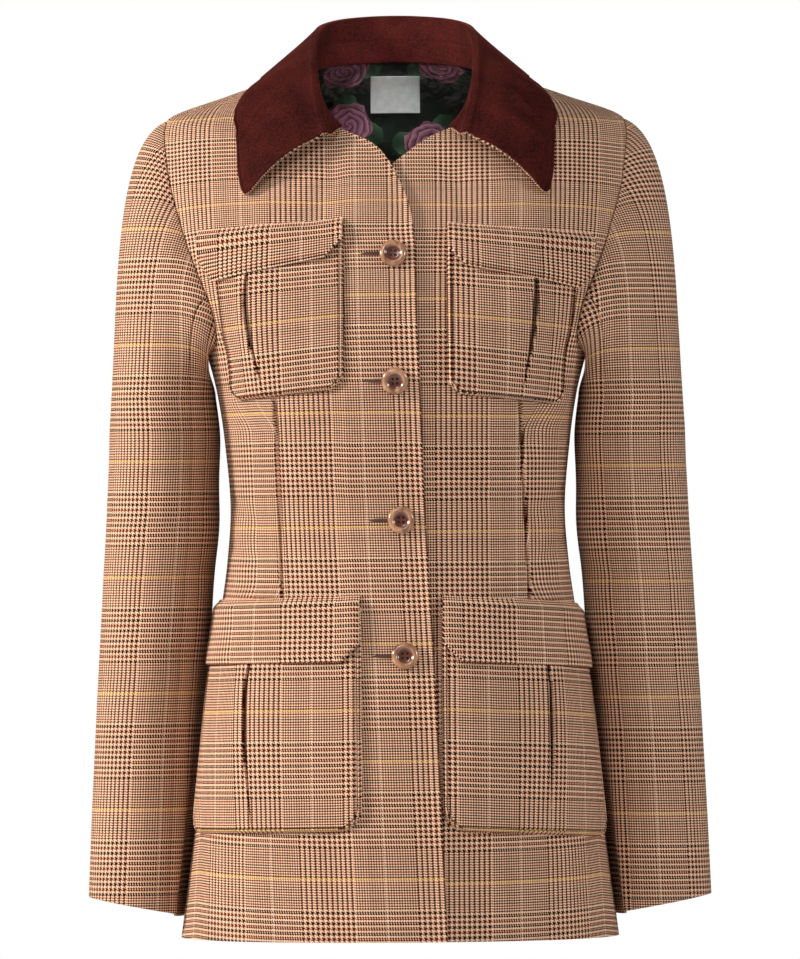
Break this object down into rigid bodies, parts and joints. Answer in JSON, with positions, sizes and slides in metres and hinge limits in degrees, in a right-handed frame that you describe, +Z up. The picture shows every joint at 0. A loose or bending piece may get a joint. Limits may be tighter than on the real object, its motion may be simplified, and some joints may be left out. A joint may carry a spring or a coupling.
{
  "type": "utility jacket",
  "caption": "Tailored hip-length jacket in checked tweed with a velvet collar, buttoned front, two-piece sleeves and pleated bellows pockets with flaps, in its hollow worn form.",
  "frame": {"origin": "middle of the neck, level with the points where the shoulder seams reach the collar, where the wearer's shoulders hold the jacket", "axes": "+Z up, the front faces -Y, +X is towards the wearer's left"},
  "size_m": [0.5112, 0.2724, 0.7577],
  "materials": {
    "tweed": "woven wool check",
    "velvet": "short pile",
    "lining": "printed satin",
    "label": "woven satin, blank",
    "button": "polished horn look"
  },
  "bodies": {
    "root": {"front_right": "tweed", "front_left": "tweed", "back": "tweed", "sleeve_top_right": "tweed", "sleeve_under_right": "tweed", "sleeve_top_left": "tweed", "sleeve_under_left": "tweed", "collar_under": "tweed", "chest_pocket_bag_right": "tweed", "chest_pocket_bag_left": "tweed", "chest_pocket_gusset_right": "tweed", "chest_pocket_gusset_left": "tweed", "chest_pocket_flap_right": "tweed", "chest_pocket_flap_left": "tweed", "lower_pocket_bag_right": "tweed", "lower_pocket_bag_left": "tweed", "lower_pocket_gusset_right": "tweed", "lower_pocket_gusset_left": "tweed", "lower_pocket_flap_right": "tweed", "lower_pocket_flap_left": "tweed", "collar_stand": "velvet", "collar_upper": "velvet", "lining_back": "lining", "label": "label", "button_1": "button", "button_2": "button", "button_3": "button", "button_4": "button"}
  },
  "joints": []
}
